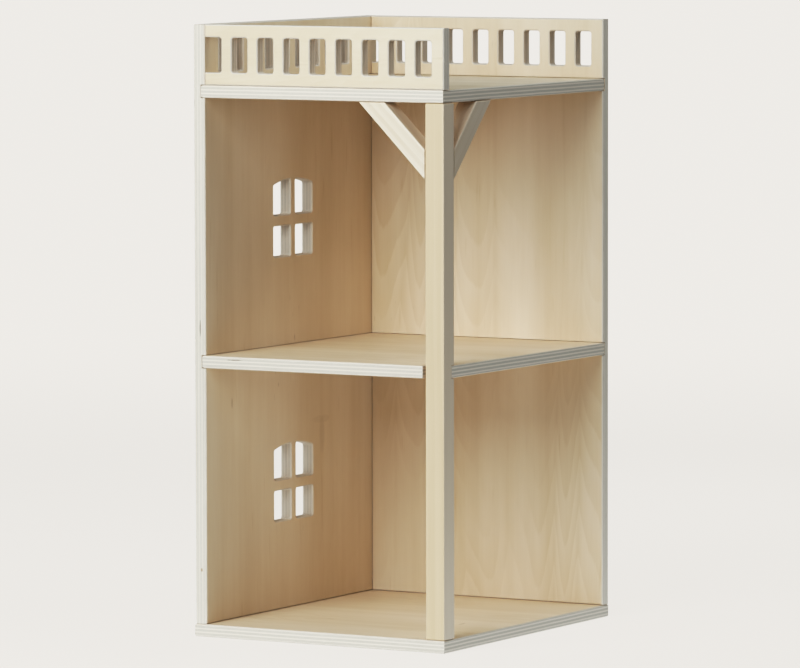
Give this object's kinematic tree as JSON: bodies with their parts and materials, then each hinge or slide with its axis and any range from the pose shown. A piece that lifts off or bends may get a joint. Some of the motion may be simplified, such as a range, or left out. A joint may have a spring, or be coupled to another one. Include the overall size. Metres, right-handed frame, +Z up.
{
  "type": "wooden dollhouse",
  "caption": "Open corner tower for a wooden dollhouse: stacked rooms with arched windows, a braced corner post and a balcony with a slotted railing.",
  "frame": {"origin": "centre of the underside, on the surface the house stands on", "axes": "+X to the right, +Y to the back, +Z up; the front and the right side are open"},
  "size_m": [0.273, 0.326, 0.5835],
  "materials": {
    "plywood": "pale birch plywood with a matt clear finish; face grain runs up the walls and across the floors, edges show seven plies",
    "stick_wood": "solid pale wood, planed and lightly sanded, matt",
    "dowel_wood": "plain beech dowel",
    "screw_steel": "zinc-plated wood screw"
  },
  "bodies": {
    "root": {"base_panel": "plywood", "left_wall": "plywood", "back_wall": "plywood", "middle_floor": "plywood", "balcony_deck": "plywood", "front_railing": "plywood", "corner_post": "stick_wood", "front_brace": "stick_wood", "side_brace": "stick_wood", "corner_dowel_1": "dowel_wood", "corner_dowel_2": "dowel_wood", "corner_dowel_3": "dowel_wood", "corner_dowel_4": "dowel_wood", "railing_dowel_1": "dowel_wood", "railing_dowel_2": "dowel_wood", "post_head_dowel": "dowel_wood", "front_brace_head_dowel": "dowel_wood", "side_brace_head_dowel": "dowel_wood", "front_brace_foot_dowel": "dowel_wood", "side_brace_foot_dowel": "dowel_wood", "left_wall_screw_1": "screw_steel", "left_wall_screw_2": "screw_steel", "left_wall_screw_3": "screw_steel", "back_wall_screw_1": "screw_steel", "back_wall_screw_2": "screw_steel", "back_wall_screw_3": "screw_steel", "post_screw": "screw_steel"}
  },
  "joints": []
}
